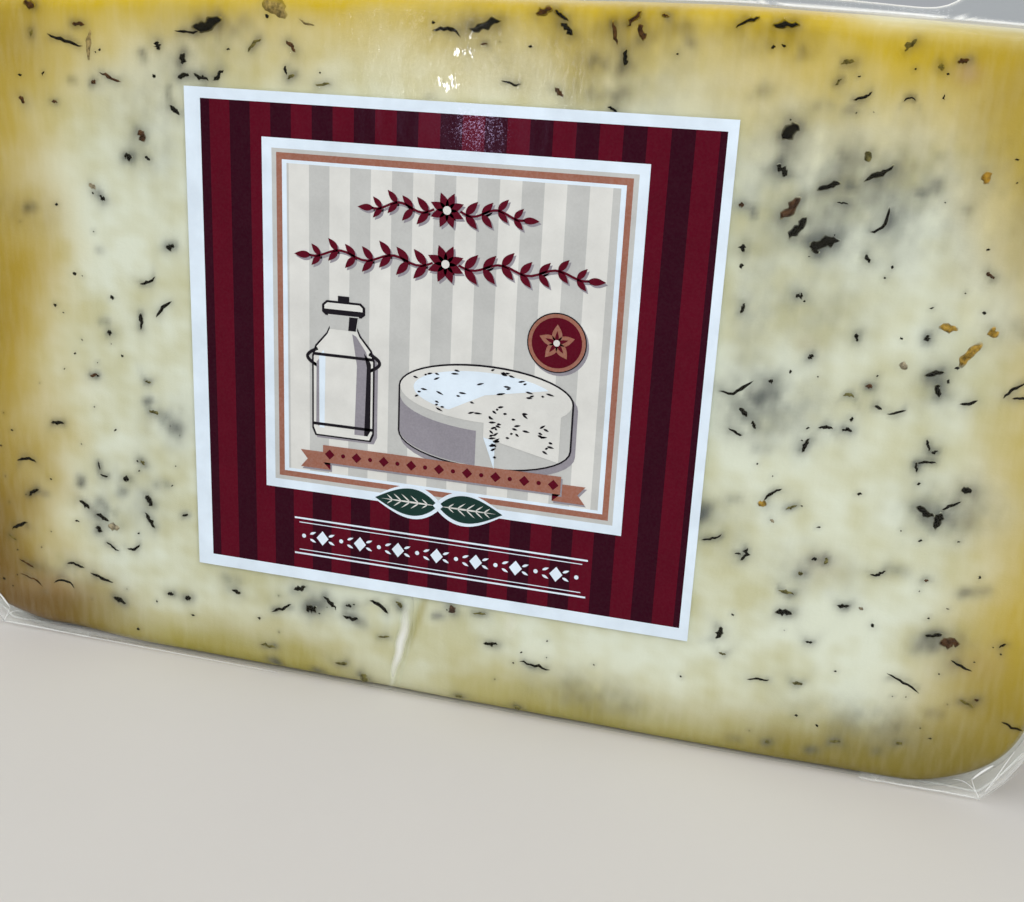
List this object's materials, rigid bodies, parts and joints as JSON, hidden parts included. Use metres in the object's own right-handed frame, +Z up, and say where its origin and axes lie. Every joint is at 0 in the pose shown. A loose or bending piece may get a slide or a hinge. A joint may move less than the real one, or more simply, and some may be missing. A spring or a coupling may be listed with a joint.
{
  "type": "slab of herb cheese in a vacuum pack",
  "caption": "Thick rounded slab of pale herb cheese in a clear vacuum bag with a welded margin, standing on its long edge, with a square paper label on its front.",
  "frame": {"origin": "middle of the pack's footprint, on the surface that it stands on", "axes": "+X along the slab's length, to the right seen from the labelled front; +Y into its depth, away from the label; +Z up"},
  "size_m": [0.232, 0.0532, 0.1417],
  "materials": {
    "cheese": "satin",
    "film": "gloss",
    "herbs": "matte",
    "label_paper": "satin"
  },
  "bodies": {
    "root": {"cheese_pack": "cheese", "label": "label_paper"}
  },
  "joints": []
}
